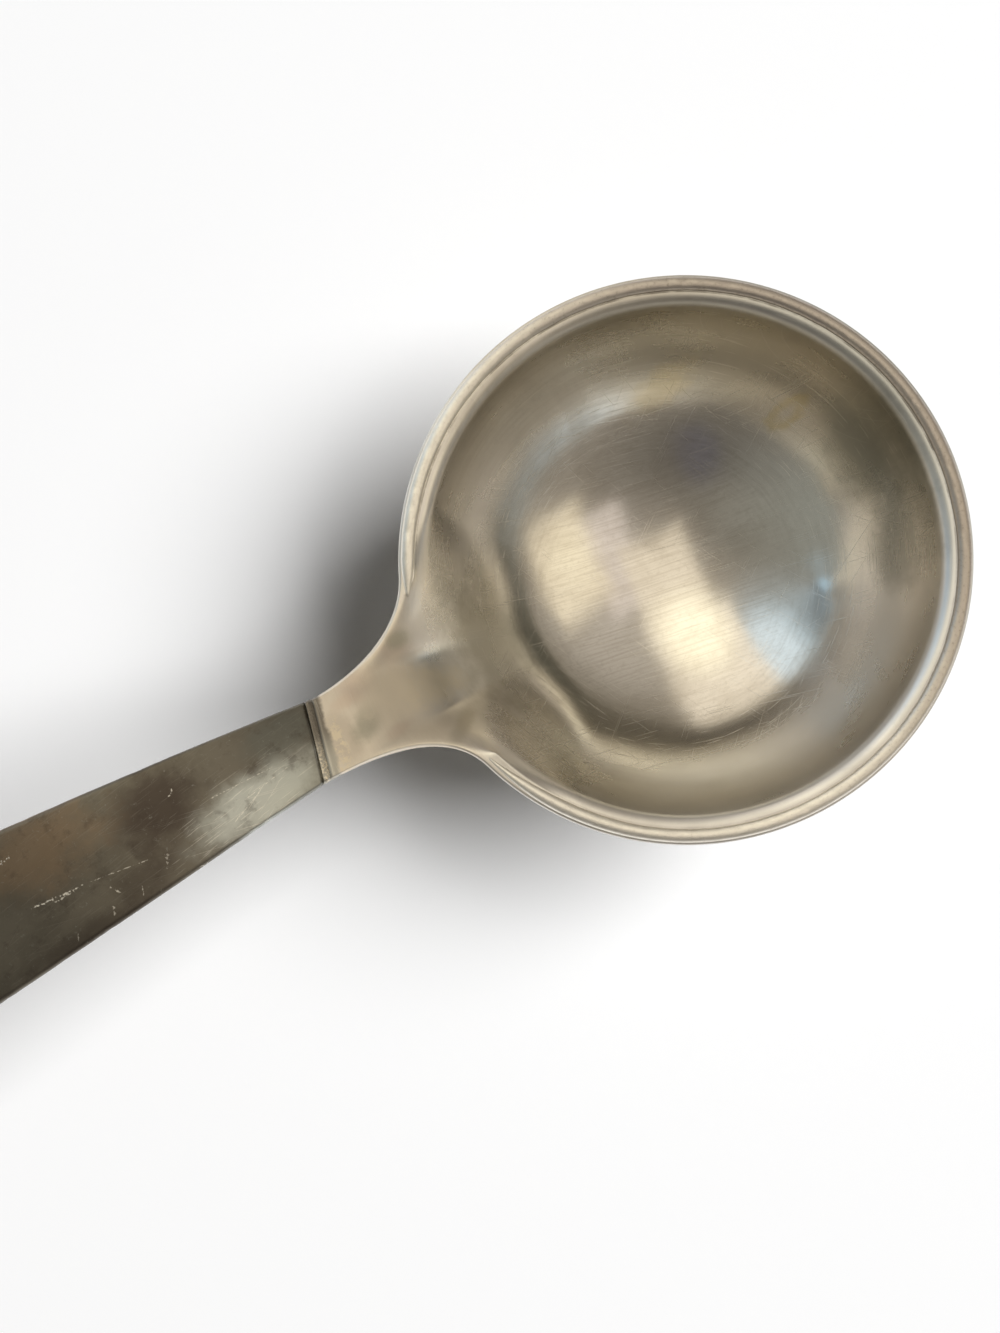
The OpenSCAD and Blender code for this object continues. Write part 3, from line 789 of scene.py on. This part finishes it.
def sheet_finish(f):
    """Worn sheet: warm metal with soft clouds of tarnish, a few stains, brushing that runs
    straight over the base and round the wall, and fine scratches. Light and shade are painted
    in as well: a cool painted reflection on the side away from the handle, a paler painted
    reflection and a painted highlight on the steep wall's +Y side, and painted shade on its
    -X -Y side, in two patches on the wall away from the handle and on the wall below the throat."""
    m = Finish("worn_sheet", Metallic=1.0)
    x, y, z = m.add("ShaderNodeSeparateXYZ", {0: m.place}).outputs
    radius = m.math("SQRT", m.math("ADD", m.math("MULTIPLY", x, x), m.math("MULTIPLY", y, y)))
    round_ = m.math("ARCTAN2", y, x)
    polar = m.add("ShaderNodeCombineXYZ", {
        0: m.math("MULTIPLY", radius, 1400.0), 1: m.math("MULTIPLY", round_, 3.0),
        2: m.math("MULTIPLY", z, 900.0),
    }).outputs[0]
    arcs = m.noise(1.0, 3.0, 0.6, polar)
    straight = m.noise(1.0, 3.0, 0.6, m.mapped(math.radians(8), (70, 2600, 300)))
    brushed = m.lerp(m.step(radius, 0.014, 0.032), straight, arcs)
    long_arcs = m.noise(1.0, 2.0, 0.5, m.vector("MULTIPLY", polar, (3.2, 1.4, 3.0)))
    long_arcs = m.math("MULTIPLY", m.step(long_arcs, 0.64, 0.7), m.step(radius, 0.02, 0.03))
    cloud = m.noise(38.0, 5.0, 0.6, None, 0.8)
    blotch = m.noise(150.0, 5.0, 0.62)
    fine = m.noise(1100.0, 4.0, 0.7)
    tint = m.blend(m.step(cloud, 0.42, 0.68, 0.0, 0.6), f.sheet, f.tarnish)
    tint = m.blend(m.step(blotch, 0.5, 0.75, 0.0, 0.3), tint, f.tarnish)
    tint = m.blend(m.step(brushed, 0.42, 0.66, 0.0, 0.45), tint, f.tarnish)
    tint = m.blend(m.step(fine, 0.5, 0.7, 0.0, 0.2), tint, (0.46, 0.42, 0.35))
    # Painted reflection: a cool bluish cast over the side of the bowl away from the handle
    tint = m.blend(m.step(x, -0.04, -0.012, 0.6, 0.0), tint, (0.70, 0.75, 0.75))
    # Painted reflection, highlight and shade on the steep wall: paler on the +Y side where the wall mirrors itself, a
    # near-white painted highlight further round on that side, and painted shade darkening the -X -Y side and the top
    # of the wall there
    steep = m.math("MULTIPLY", m.step(radius, 0.030, 0.037), m.step(z, 0.037, 0.034))
    side = m.math("MULTIPLY_ADD", x, 0.31, m.math("MULTIPLY", y, -0.95))
    upper = m.math("MULTIPLY_ADD", x, 0.454, m.math("MULTIPLY", y, 0.89))
    tint = m.blend(m.math("MULTIPLY", steep, m.step(upper, -0.03, -0.005, 0.1, 0.85)), tint, f.bright)
    tint = m.blend(m.math("MULTIPLY", steep, m.step(side, -0.034, -0.018, 0.9, 0.0)), tint, (0.97, 0.97, 0.98))
    corner = m.math("MULTIPLY_ADD", x, 0.75, m.math("MULTIPLY", y, 0.66))
    tint = m.blend(m.math("MULTIPLY", steep, m.step(corner, -0.036, -0.02, 0.5, 0.0)), tint, (0.5, 0.47, 0.41))
    high = m.math("MULTIPLY", m.step(radius, 0.026, 0.034), m.step(z, 0.037, 0.034))
    tint = m.blend(m.math("MULTIPLY", high, m.step(corner, -0.037, -0.024, 0.95, 0.0)), tint, (0.42, 0.39, 0.33))
    in_neck = m.math("MULTIPLY", m.step(x, 0.040, 0.048), m.step(z, 0.028, 0.036))
    tint = m.blend(m.math("MULTIPLY", in_neck, 0.75), tint, f.neck)
    for place, amount, other in (
        ((56, -5, 5, 3, 20, 0.8), 0.35, (0.62, 0.46, 0.38)),
        ((48.5, -7.5, 5, 4, 60, 0.8), 0.3, (0.60, 0.46, 0.38)),
        ((47, -9.3, 3, 2, 0, 0.8), 0.5, (0.50, 0.50, 0.38)),
        ((61, 1.5, 4, 6, 0, 0.9), 0.5, (0.58, 0.50, 0.40)),
        ((56.7, 0.8, 4.4, 2.8, 40, 0.9), 0.6, (0.36, 0.35, 0.27)),
        ((-14.3, -30.5, 9, 4, 8, 0.9), 0.5, f.stain),
        # Painted shade: two dark grey patches on the steep wall away from the handle
        ((-38, -3, 15, 5, 92, 0.7), 0.75, (0.28, 0.28, 0.25)),
        ((-36, 14, 11, 4, 66, 0.7), 0.6, (0.30, 0.31, 0.29)),
        # Painted shade: a dark patch on the wall below the throat
        ((34, -2, 19, 10, 87, 0.7), 0.85, (0.42, 0.40, 0.34)),
        ((51, -2, 8, 6, 20, 0.8), 0.8, (1.0, 0.90, 0.73)),
        ((45.5, -0.5, 6, 5, 0, 0.7), 0.8, (1.0, 0.90, 0.72)),
        ((44.7, -5.6, 5.5, 1.6, -10, 0.5), 0.5, (0.5, 0.47, 0.4)),
        ((44, 8, 5, 2, 40, 0.8), 0.4, (0.52, 0.48, 0.38)),
        ((53, 4, 3, 1.6, 10, 0.9), 0.35, (0.66, 0.52, 0.42)),
        ((58.5, -3.8, 3, 2, 10, 0.9), 0.4, (0.80, 0.66, 0.52)),
    ):
        tint = m.blend(m.math("MULTIPLY", m.oval(*place), amount), tint, other)
    ring = m.math("SUBTRACT", m.oval(-32, -15.8, 3.6, 3.0, 0, 1.2), m.oval(-32, -15.8, 2.8, 2.2, 0, 1.2))
    tint = m.blend(m.math("MULTIPLY", ring, 1.2), tint, (0.42, 0.35, 0.16))
    joint = m.step(m.math("ABSOLUTE", m.math("SUBTRACT", radius, 0.04313)), 0.00003, 0.00022, 1.0, 0.0)
    joint = m.math("MULTIPLY", joint, m.step(z, 0.0352, 0.0358))
    joint = m.math("MULTIPLY", joint, m.step(m.math("ABSOLUTE", round_), 0.35, 0.5))
    joint = m.math("MULTIPLY", joint, m.step(upper, -0.02, 0.015, 1.0, 0.2))
    tint = m.blend(m.math("MULTIPLY", joint, m.step(blotch, 0.4, 0.6, 0.05, 0.75)), tint, (0.14, 0.12, 0.10))
    along = m.math("MULTIPLY_ADD", x, 0.987, m.math("MULTIPLY", y, -0.156))
    along = m.math("MULTIPLY_ADD", m.math("SUBTRACT", blotch, 0.5), 0.003, along)
    past = m.step(along, 0.0613, 0.0620)
    strip = m.math("MULTIPLY", m.math("SUBTRACT", m.step(along, 0.0593, 0.0602), past), m.step(y, -0.004, 0.0))
    tint = m.blend(m.math("MULTIPLY", strip, m.step(fine, 0.42, 0.6)), tint, f.solder)
    tint = m.blend(m.math("MULTIPLY", past, 0.9), tint, m.blend(m.step(y, -0.002, 0.004), SMOKED, RUBBED))
    strokes = m.most([m.stroke(*line) for line in BOWL_STROKES])
    hairs = m.most([
        m.hairs(math.radians(12), 0.1), m.hairs(math.radians(-38), 0.2, 60.0, 5600.0, 0.68),
        m.hairs(math.radians(63), 0.4, 90.0, 5400.0, 0.68),
    ])
    marks = m.most([strokes, m.math("MULTIPLY", hairs, 0.16), m.math("MULTIPLY", long_arcs, 0.4)])
    tint = m.blend(m.math("MULTIPLY", marks, 0.6), tint, f.wire)
    rim = m.math("MULTIPLY", m.step(radius, 0.0395, 0.0415), m.step(z, 0.0325, 0.035))
    rough = m.total(
        m.step(cloud, 0.35, 0.75, f.polish, f.dullness),
        m.math("MULTIPLY", brushed, 0.08),
        m.math("MULTIPLY", steep, 0.12),
        m.math("MULTIPLY", m.most([m.math("MULTIPLY", in_neck, 1.4), rim]), 0.18),
        m.math("MULTIPLY", m.most([hairs, long_arcs]), 0.1),
        m.math("MULTIPLY", strokes, 0.15),
    )
    lines = m.total(m.math("MULTIPLY", m.most([hairs, long_arcs]), 0.32), strokes)
    return m.done(tint, rough, ((brushed, 0.000005), (fine, 0.000003), (lines, -0.000007)))


def wire_finish(f):
    """Rubbed wire: pale and grainy, with streaks along it, a dark line along both feet, and
    painted shade that makes its -X -Y side darker and shows more tarnish there.
    """
    m = Finish("rubbed_wire", Metallic=1.0)
    x, y, z = m.add("ShaderNodeSeparateXYZ", {0: m.place}).outputs
    radius = m.math("SQRT", m.math("ADD", m.math("MULTIPLY", x, x), m.math("MULTIPLY", y, y)))
    polar = m.add("ShaderNodeCombineXYZ", {
        0: m.math("MULTIPLY", radius, 2600.0),
        1: m.math("MULTIPLY", m.math("ARCTAN2", y, x), 26.0), 2: 0.0,
    }).outputs[0]
    streaks = m.noise(1.0, 3.0, 0.6, polar)
    grain = m.noise(2100.0, 4.0, 0.65)
    cloud = m.noise(120.0, 4.0, 0.6)
    foot = m.step(z, 0.03603, 0.03615, 1.0, 0.0)
    # Painted shade: the wire is made darker on its side towards -X and -Y, and its tarnish, streaks and grains show
    # more strongly there
    shaded_side = m.step(m.total(m.math("MULTIPLY", x, -0.95), m.math("MULTIPLY", y, -0.31)), -0.02, 0.035)
    tint = m.blend(m.math("MULTIPLY", shaded_side, 0.9), f.wire, (0.50, 0.44, 0.385))
    tarnish_and_shade = m.lerp(shaded_side, 0.25, 1.0)
    tint = m.blend(m.math("MULTIPLY", m.step(cloud, 0.4, 0.7, 0.0, 0.3), tarnish_and_shade), tint, f.tarnish)
    tint = m.blend(m.math("MULTIPLY", m.step(streaks, 0.5, 0.7, 0.0, 0.35), tarnish_and_shade), tint, f.tarnish)
    tint = m.blend(m.math("MULTIPLY", m.step(grain, 0.56, 0.68, 0.0, 0.45), tarnish_and_shade), tint, (0.36, 0.31, 0.25))
    tint = m.blend(m.math("MULTIPLY", foot, 0.25), tint, (0.16, 0.13, 0.10))
    rough = m.step(grain, 0.3, 0.7, 0.34, 0.5)
    return m.done(tint, rough, ((grain, 0.00003), (streaks, 0.00002)))


def bar_finish(f):
    """Handle: olive brown patina; umber in the middle of what shows, partly patina and partly
    painted shade; orange brown beyond it; greenish grey and scratched near the seam, the grey
    partly rubbed metal and partly a painted highlight."""
    m = Finish("brown_patina", Metallic=1.0)
    cloud = m.noise(75.0, 6.0, 0.62, None, 0.6)
    blotch = m.noise(330.0, 5.0, 0.65)
    fine = m.noise(1300.0, 4.0, 0.7)
    x, y, z = m.add("ShaderNodeSeparateXYZ", {0: m.place}).outputs
    tint = m.blend(m.step(cloud, 0.38, 0.66), f.patina, tuple(1.25 * v for v in f.patina))
    for place, amount, other in (
        # Umber patch on the rising part of the handle: partly patina, partly painted shade
        ((88, -1, 10, 9, 60, 0.9), 0.85, f.umber),
        ((106, -4, 16, 8, 0, 0.9), 0.8, f.rust),
        ((93.5, 7, 6, 3.5, 0, 0.9), 0.45, f.umber),
        # Greenish grey patch near the seam: partly rubbed metal, partly a painted highlight
        ((74.2, 4.1, 14.5, 6.0, 8, 0.7), 0.97, f.rubbed_and_lit),
        ((101, 10.5, 15, 3, 5, 0.9), 0.5, f.umber),
        ((68, -3.5, 9, 5, 0, 0.9), 0.6, (0.175, 0.18, 0.155)),
        ((150, 3, 26, 12, 20, 0.9), 0.6, f.rust),
        ((196, -4, 24, 14, 80, 0.9), 0.7, f.umber),
    ):
        tint = m.blend(m.math("MULTIPLY", m.oval(*place), amount), tint, other)
    tint = m.blend(m.step(blotch, 0.52, 0.7, 0.0, 0.4), tint, f.umber)
    tint = m.blend(m.step(fine, 0.6, 0.75, 0.0, 0.2), tint, f.rubbed_and_lit)
    strokes = m.most([m.stroke(*line) for line in HANDLE_STROKES])
    hairs = m.most([
        m.hairs(math.radians(10), 0.15, 70.0, 5200.0, 0.68),
        m.hairs(math.radians(-35), 0.25, 110.0, 5600.0, 0.69),
        m.hairs(math.radians(-12), 0.35, 230.0, 4800.0, 0.62),
    ])
    worn = m.math("MULTIPLY_ADD", m.oval(77, 4.5, 16, 7, 8, 0.9), 0.3, 0.025)
    tint = m.blend(m.math("MULTIPLY", hairs, worn), tint, f.wire)
    tint = m.blend(strokes, tint, f.wire)
    rough = m.total(
        m.step(cloud, 0.3, 0.7, 0.3, 0.38), m.math("MULTIPLY", blotch, 0.1),
        m.math("MULTIPLY", strokes, 0.1),
    )
    lines = m.total(m.math("MULTIPLY", hairs, 0.5), strokes)
    return m.done(tint, rough, ((blotch, 0.000012), (fine, 0.000006), (lines, -0.00001)))


def solder_finish(f):
    """Solder: tan like the neck, with bright grains along its left half."""
    m = Finish("granular_solder", Metallic=1.0)
    grain = m.noise(2300.0, 3.0, 0.6)
    cloud = m.noise(420.0, 3.0)
    y = m.add("ShaderNodeSeparateXYZ", {0: m.place}).outputs[1]
    left = m.step(y, -0.001, 0.003)
    tint = m.blend(m.step(y, -0.002, 0.004), SMOKED, RUBBED)
    tint = m.blend(m.step(cloud, 0.4, 0.65, 0.0, 0.4), tint, SMOKED)
    bright = m.math("MULTIPLY", m.step(grain, 0.46, 0.6), m.math("MULTIPLY", left, 0.6))
    tint = m.blend(bright, tint, f.solder)
    return m.done(tint, m.step(grain, 0.3, 0.7, 0.42, 0.26), ((grain, 0.00006),))


# ---------------------------------------------------------------- stage


def look_from():
    """Place and axes of the photograph's camera: turned round the upright, then tipped about
    its level axis and its other axis, looking almost straight down."""
    turned, tip, lean = (math.radians(v) for v in (27.01, 1.81, -1.69))
    right = Vector((-math.cos(turned), math.sin(turned), 0))
    below = Vector((math.sin(turned), math.cos(turned), 0))
    ahead = Vector((0, 0, -1))
    first = Matrix.Rotation(tip, 3, right)
    ahead, below = first @ ahead, first @ below
    second = Matrix.Rotation(lean, 3, below)
    return Vector((0.03228, 0.00888, 0.19636)), second @ right, below, second @ ahead


def put_camera():
    at, right, below, ahead = look_from()
    data = bpy.data.cameras.new("photo_view")
    data.sensor_width = 36.0
    data.lens = 36.0 * 1000 / 1333
    data.clip_start = 0.005
    camera = bpy.data.objects.new("photo_view", data)
    bpy.context.scene.collection.objects.link(camera)
    turned = Matrix((right, -below, -ahead)).transposed()
    camera.matrix_world = Matrix.Translation(at) @ turned.to_4x4()
    bpy.context.scene.camera = camera


def put_lamp(name, start, end, width, level, far=8.0):
    """A rectangular lamp that faces the bowl and reaches from the direction start to the
    direction end; width is an angle, and level is its radiance. The room has it already, so
    gloss doesn't see it."""
    start, end = Vector(start).normalized(), Vector(end).normalized()
    middle = (start + end).normalized()
    size = 2 * far * math.tan(width / 2), 2 * far * math.tan(start.angle(end) / 2)
    data = bpy.data.lights.new(name, "AREA")
    data.shape = "RECTANGLE"
    data.size, data.size_y = size
    data.energy = level * size[0] * size[1] * math.pi
    lamp = bpy.data.objects.new(name, data)
    bpy.context.scene.collection.objects.link(lamp)
    lamp.visible_glossy = False
    upward = (end - start - (end - start).dot(middle) * middle).normalized()
    turned = Matrix((upward.cross(middle), upward, middle)).transposed()
    lamp.matrix_world = Matrix.Translation(middle * far) @ turned.to_4x4()
    return lamp


def either(tree, *kinds):
    """1 for a ray of one of the kinds, else 0."""
    path = tree.nodes.new("ShaderNodeLightPath")
    out = path.outputs[kinds[0]]
    for kind in kinds[1:]:
        node = tree.nodes.new("ShaderNodeMath")
        node.operation = "MAXIMUM"
        tree.links.new(out, node.inputs[0])
        tree.links.new(path.outputs[kind], node.inputs[1])
        out = node.outputs[0]
    return out


def floor_finish(look):
    """Pale floor: matt, whiter to the camera and to gloss, and clear from underneath."""
    material = bpy.data.materials.new("pale_floor")
    material.use_nodes = True
    tree = material.node_tree
    tree.nodes.clear()
    tone = tree.nodes.new("ShaderNodeMix")
    tone.data_type = "RGBA"
    tree.links.new(either(tree, "Is Camera Ray", "Is Glossy Ray", "Is Transmission Ray"), tone.inputs[0])
    tone.inputs[6].default_value = (*look.floor, 1)
    tone.inputs[7].default_value = (look.white,) * 3 + (1,)
    matt = tree.nodes.new("ShaderNodeBsdfDiffuse")
    tree.links.new(tone.outputs[2], matt.inputs["Color"])
    clear = tree.nodes.new("ShaderNodeBsdfTransparent")
    under = tree.nodes.new("ShaderNodeNewGeometry")
    sides = tree.nodes.new("ShaderNodeMixShader")
    tree.links.new(under.outputs["Backfacing"], sides.inputs[0])
    tree.links.new(matt.outputs[0], sides.inputs[1])
    tree.links.new(clear.outputs[0], sides.inputs[2])
    out = tree.nodes.new("ShaderNodeOutputMaterial")
    tree.links.new(sides.outputs[0], out.inputs[0])
    return material


# The room that the metal mirrors, as soft patches, later ones over earlier ones: how far each
# middle lies from straight up, to the right and downwards in the photograph, its half length,
# half width and turn, all in degrees, then how soft it is, whether it has corners, its colour
ROOM = (
    (60, -57, 45, 35, 45, 0.8, False, (0.25, 0.224, 0.184)),
    (-13, 44, 46, 27, 10, 0.7, False, (0.16, 0.148, 0.13)),
    (-19, 20, 22, 12, 40, 0.6, False, (0.22, 0.204, 0.178)),
    (-8, 46, 13, 9, 80, 0.5, False, (0.135, 0.128, 0.14)),
    (-64, 14, 40, 28, 0, 0.6, False, (0.32, 0.316, 0.281)),
    (-46, -44, 30, 19, 62, 0.6, False, (0.56, 0.694, 0.799)),
    (-61, -20, 13, 8, 70, 0.6, False, (0.22, 0.255, 0.281)),
    (-65, -12, 10, 6, 60, 0.6, False, (0.48, 0.632, 0.756)),
    (-42, -41, 23, 9, 62, 0.4, False, (0.84, 0.979, 1.102)),
    (31, -19, 32, 20, 50, 0.7, False, (0.52, 0.474, 0.421)),
    (24, 1, 19, 11, 62, 0.2, True, (0.82, 0.745, 0.702)),
    (45, 0, 19, 13, 62, 0.25, True, (1, 0.898, 0.713)),
    (41, 3, 9, 9, 0, 0.8, False, (1.12, 1.02, 0.799)),
    (-16, -47, 30, 16.5, 67, 0.09, True, (1.05, 0.959, 0.821)),
    (2, -9, 22, 12.5, 66, 0.1, True, (0.95, 0.857, 0.713)),
    (-7, -28, 16, 12, 67, 0.5, False, (1.5, 1.408, 1.134)),
)


def sky_way(right, down):
    """Direction so many degrees from straight up, to the right and downwards in the photograph."""
    turned, tilt = math.radians(27.01), math.radians(math.hypot(right, down))
    along = Vector((-math.cos(turned), math.sin(turned), 0)) * right
    along += Vector((math.sin(turned), math.cos(turned), 0)) * down
    if along.length < 1e-6:
        return Vector((0, 0, 1))
    return along.normalized() * math.sin(tilt) + Vector((0, 0, math.cos(tilt)))


def put_world(look):
    """Light from all round. The camera sees white, and polished metal mirrors a dimmer room
    with the soft patches of ROOM and a white horizon on the photograph's lower left."""
    world = bpy.data.worlds.new("studio")
    bpy.context.scene.world = world
    world.use_nodes = True
    tree = world.node_tree
    back = tree.nodes["Background"]
    way = tree.nodes.new("ShaderNodeTexCoord").outputs["Generated"]

    def joined(kind, value, **settings):
        node = tree.nodes.new(kind)
        for key, setting in settings.items():
            setattr(node, key, setting)
        if value is not None:
            tree.links.new(value, node.inputs[0])
        return node

    def towards(direction):
        node = joined("ShaderNodeVectorMath", way, operation="DOT_PRODUCT")
        node.inputs[1].default_value = Vector(direction).normalized()
        return node.outputs["Value"]

    def mixed(amount, low, high, a, b):
        part = joined("ShaderNodeMapRange", amount, interpolation_type="SMOOTHSTEP")
        part.inputs[1].default_value, part.inputs[2].default_value = low, high
        node = joined("ShaderNodeMix", None, data_type="RGBA")
        tree.links.new(part.outputs[0], node.inputs[0])
        for socket, value in ((node.inputs[6], a), (node.inputs[7], b)):
            if isinstance(value, bpy.types.NodeSocket):
                tree.links.new(value, socket)
            else:
                socket.default_value = (*value, 1)
        return node.outputs[2]

    def far_from(right, down, long, wide, turned, cornered):
        """How far a direction is from a patch's middle, as a multiple of its size."""
        middle, turned = sky_way(right, down), math.radians(turned)
        ahead = sky_way(right + math.cos(turned), down + math.sin(turned)) - middle
        ahead = (ahead - ahead.dot(middle) * middle).normalized()
        axes = Matrix((ahead, middle.cross(ahead), middle)).transposed()
        node = joined("ShaderNodeMapping", way, vector_type="TEXTURE")
        node.inputs["Location"].default_value = middle
        node.inputs["Rotation"].default_value = axes.to_euler()
        node.inputs["Scale"].default_value = (math.sin(math.radians(long)), math.sin(math.radians(wide)), 1)
        if not cornered:
            return joined("ShaderNodeVectorMath", node.outputs[0], operation="LENGTH").outputs["Value"]
        size = joined("ShaderNodeVectorMath", node.outputs[0], operation="ABSOLUTE")
        sides = joined("ShaderNodeSeparateXYZ", size.outputs[0]).outputs
        out = sides[0]
        for side in sides[1:]:
            node = joined("ShaderNodeMath", out, operation="MAXIMUM")
            tree.links.new(side, node.inputs[1])
            out = node.outputs[0]
        return out

    room = (0.37 * look.gloom, 0.335 * look.gloom, 0.29 * look.gloom)
    for right, down, long, wide, turned, soft, cornered, tint in ROOM:
        tint = tuple(look.gloom * v for v in tint)
        far = far_from(right, down, long, wide, turned, cornered)
        room = mixed(far, 1 - soft, 1 + soft, tint, room)
    edge = mixed(towards((0.951, 0.309, 0)), -0.3, 0.7, (0.36, 0.33, 0.29), (1.0, 0.97, 0.92))
    room = mixed(towards((0, 0, 1)), -0.03, 0.34, edge, room)
    sky = (look.sky, 0.985 * look.sky, 0.96 * look.sky)
    seen = mixed(either(tree, "Is Glossy Ray"), 0, 1, sky, room)
    seen = mixed(either(tree, "Is Camera Ray", "Is Transmission Ray"), 0, 1, seen, (1, 1, 1))
    tree.links.new(seen, back.inputs["Color"])


# ---------------------------------------------------------------- operators and panel


def settle(piece, node):
    """Puts a piece on the ladle's one body in place of its CAD node."""
    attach(piece, "root")
    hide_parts(node)


class LADLE_OT_bowl(bpy.types.Operator):
    """Make the bowl with its flange and neck"""

    bl_idname = "ladle.make_bowl"
    bl_label = "Bowl"

    def execute(self, context):
        lines = Lines(context.scene.ladle_sizes)
        settle(make_sheet(lines, sheet_finish(context.scene.ladle_finishes)), "bowl")
        return {"FINISHED"}


class LADLE_OT_wire(bpy.types.Operator):
    """Make the wire on the rim"""

    bl_idname = "ladle.make_wire"
    bl_label = "Rim wire"

    def execute(self, context):
        lines = Lines(context.scene.ladle_sizes)
        settle(make_wire(lines, wire_finish(context.scene.ladle_finishes)), "rim_wire")
        return {"FINISHED"}


class LADLE_OT_handle(bpy.types.Operator):
    """Make the handle"""

    bl_idname = "ladle.make_handle"
    bl_label = "Handle"

    def execute(self, context):
        lines = Lines(context.scene.ladle_sizes)
        settle(make_bar(lines, bar_finish(context.scene.ladle_finishes)), "handle")
        return {"FINISHED"}


class LADLE_OT_seam(bpy.types.Operator):
    """Make the soldered seam"""

    bl_idname = "ladle.make_seam"
    bl_label = "Soldered seam"

    def execute(self, context):
        lines = Lines(context.scene.ladle_sizes)
        settle(make_bead(lines, solder_finish(context.scene.ladle_finishes)), "solder_seam")
        return {"FINISHED"}


class LADLE_OT_stage(bpy.types.Operator):
    """Make the floor, the lamps and the camera"""

    bl_idname = "ladle.make_stage"
    bl_label = "Stage"

    def execute(self, context):
        look = context.scene.ladle_stage
        half = 3.0
        corners = np.array([[-half, -half, 0], [half, -half, 0], [half, half, 0], [-half, half, 0]])
        corners[:, 2] = -0.05 * MM
        floor = put_mesh("floor", corners, [np.array([[0, 1, 2, 3]])], floor_finish(look))
        degree = math.pi / 180
        put_lamp("key", (-0.45, 0.065, 0.890), (-0.875, 0.125, 0.467), 44 * degree,
                 look.key)
        put_world(look)
        put_camera()
        scene = context.scene
        scene.view_settings.view_transform = "Standard"
        return {"FINISHED"}


class LADLE_PT_panel(bpy.types.Panel):
    """Lists the ladle's pieces"""

    bl_idname = "LADLE_PT_panel"
    bl_label = "Ladle"
    bl_space_type = "VIEW_3D"
    bl_region_type = "UI"
    bl_category = "Ladle"

    def draw(self, context):
        for operator in OPERATORS:
            self.layout.operator(operator.bl_idname)
        for group in (context.scene.ladle_sizes, context.scene.ladle_finishes, context.scene.ladle_stage):
            box = self.layout.box()
            for key in group.__annotations__:
                box.prop(group, key)


OPERATORS = (LADLE_OT_bowl, LADLE_OT_wire, LADLE_OT_handle, LADLE_OT_seam, LADLE_OT_stage)
GROUPS = {"ladle_sizes": LadleSizes, "ladle_finishes": LadleFinishes, "ladle_stage": LadleStage}


def register():
    for kind in (*GROUPS.values(), *OPERATORS, LADLE_PT_panel):
        bpy.utils.register_class(kind)
    for name, group in GROUPS.items():
        setattr(bpy.types.Scene, name, PointerProperty(type=group))


def unregister():
    for name in GROUPS:
        delattr(bpy.types.Scene, name)
    for kind in (LADLE_PT_panel, *reversed(OPERATORS), *reversed(tuple(GROUPS.values()))):
        bpy.utils.unregister_class(kind)


def main():
    register()
    bpy.ops.ladle.make_bowl()
    bpy.ops.ladle.make_wire()
    bpy.ops.ladle.make_handle()
    bpy.ops.ladle.make_seam()
    bpy.ops.ladle.make_stage()


if __name__ == "__main__":
    main()
